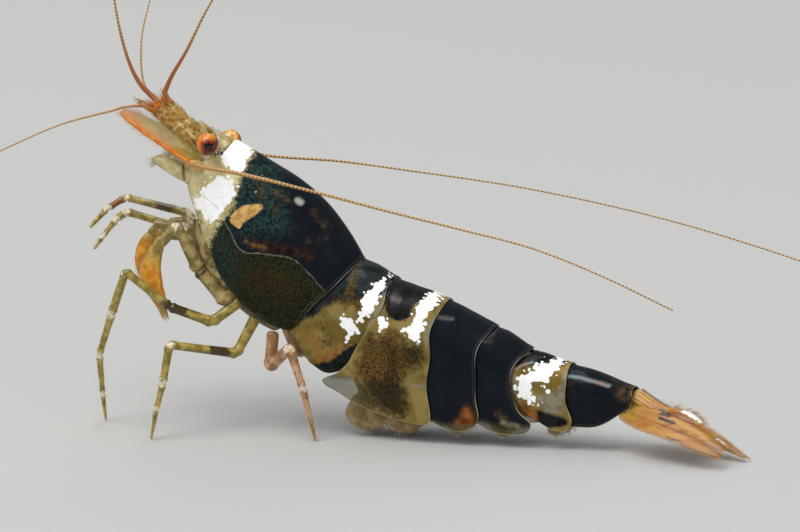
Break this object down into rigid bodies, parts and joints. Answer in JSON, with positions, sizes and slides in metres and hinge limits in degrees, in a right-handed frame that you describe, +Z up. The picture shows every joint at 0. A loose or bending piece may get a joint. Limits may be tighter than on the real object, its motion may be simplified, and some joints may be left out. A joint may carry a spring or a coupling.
{
  "type": "aquarium shrimp",
  "caption": "Dwarf freshwater aquarium shrimp standing head up on its walking legs, tail fan on the floor, long feelers swept back.",
  "frame": {"origin": "on the floor, under the middle of the bounding box", "axes": "+Z up, the head towards -X, the left side towards -Y"},
  "size_m": [0.0374, 0.0094, 0.0207],
  "materials": {
    "shell": "glossy blue-black shell with white patches and cream bands, thin clear edges",
    "flesh": "wet translucent cream",
    "head_parts": "translucent golden brown, mottled, with an orange edge",
    "eye": "glossy orange-red with a dark centre",
    "feeler": "thin ringed golden thread",
    "claw_limb": "translucent cream turning orange towards the brush tips",
    "limb": "translucent olive tan with white joints and brown bands",
    "swimmeret": "pale translucent leaf, finely speckled, with a hair fringe",
    "tail_fan": "clear golden orange fins with a pale hair fringe"
  },
  "bodies": {
    "root": {"carapace": "shell", "abdomen_1": "shell", "abdomen_2": "shell", "abdomen_3": "shell", "abdomen_4": "shell", "abdomen_5": "shell", "abdomen_6": "shell", "thorax_underside": "flesh", "mouth": "flesh", "eyestalk_left": "flesh", "eyestalk_right": "flesh", "antenna_base_left": "flesh", "antenna_base_right": "flesh", "maxilliped_left": "flesh", "maxilliped_right": "flesh", "rostrum": "head_parts", "antennule_base_left": "head_parts", "antennule_base_right": "head_parts", "antennal_scale_left": "head_parts", "antennal_scale_right": "head_parts", "eye_left": "eye", "eye_right": "eye", "antenna_left": "feeler", "antenna_right": "feeler", "antennule_outer_left": "feeler", "antennule_outer_right": "feeler", "antennule_inner_left": "feeler", "antennule_inner_right": "feeler", "leg_1_left": "claw_limb", "leg_1_right": "claw_limb", "leg_2_left": "claw_limb", "leg_2_right": "claw_limb", "leg_3_left": "limb", "leg_3_right": "limb", "leg_4_left": "limb", "leg_4_right": "limb", "leg_5_left": "limb", "leg_5_right": "limb", "swimmeret_1_left": "swimmeret", "swimmeret_1_right": "swimmeret", "swimmeret_2_left": "swimmeret", "swimmeret_2_right": "swimmeret", "swimmeret_3_left": "swimmeret", "swimmeret_3_right": "swimmeret", "swimmeret_4_left": "swimmeret", "swimmeret_4_right": "swimmeret", "swimmeret_5_left": "swimmeret", "swimmeret_5_right": "swimmeret", "telson": "tail_fan", "inner_tail_fin_left": "tail_fan", "inner_tail_fin_right": "tail_fan", "outer_tail_fin_left": "tail_fan", "outer_tail_fin_right": "tail_fan"}
  },
  "joints": []
}
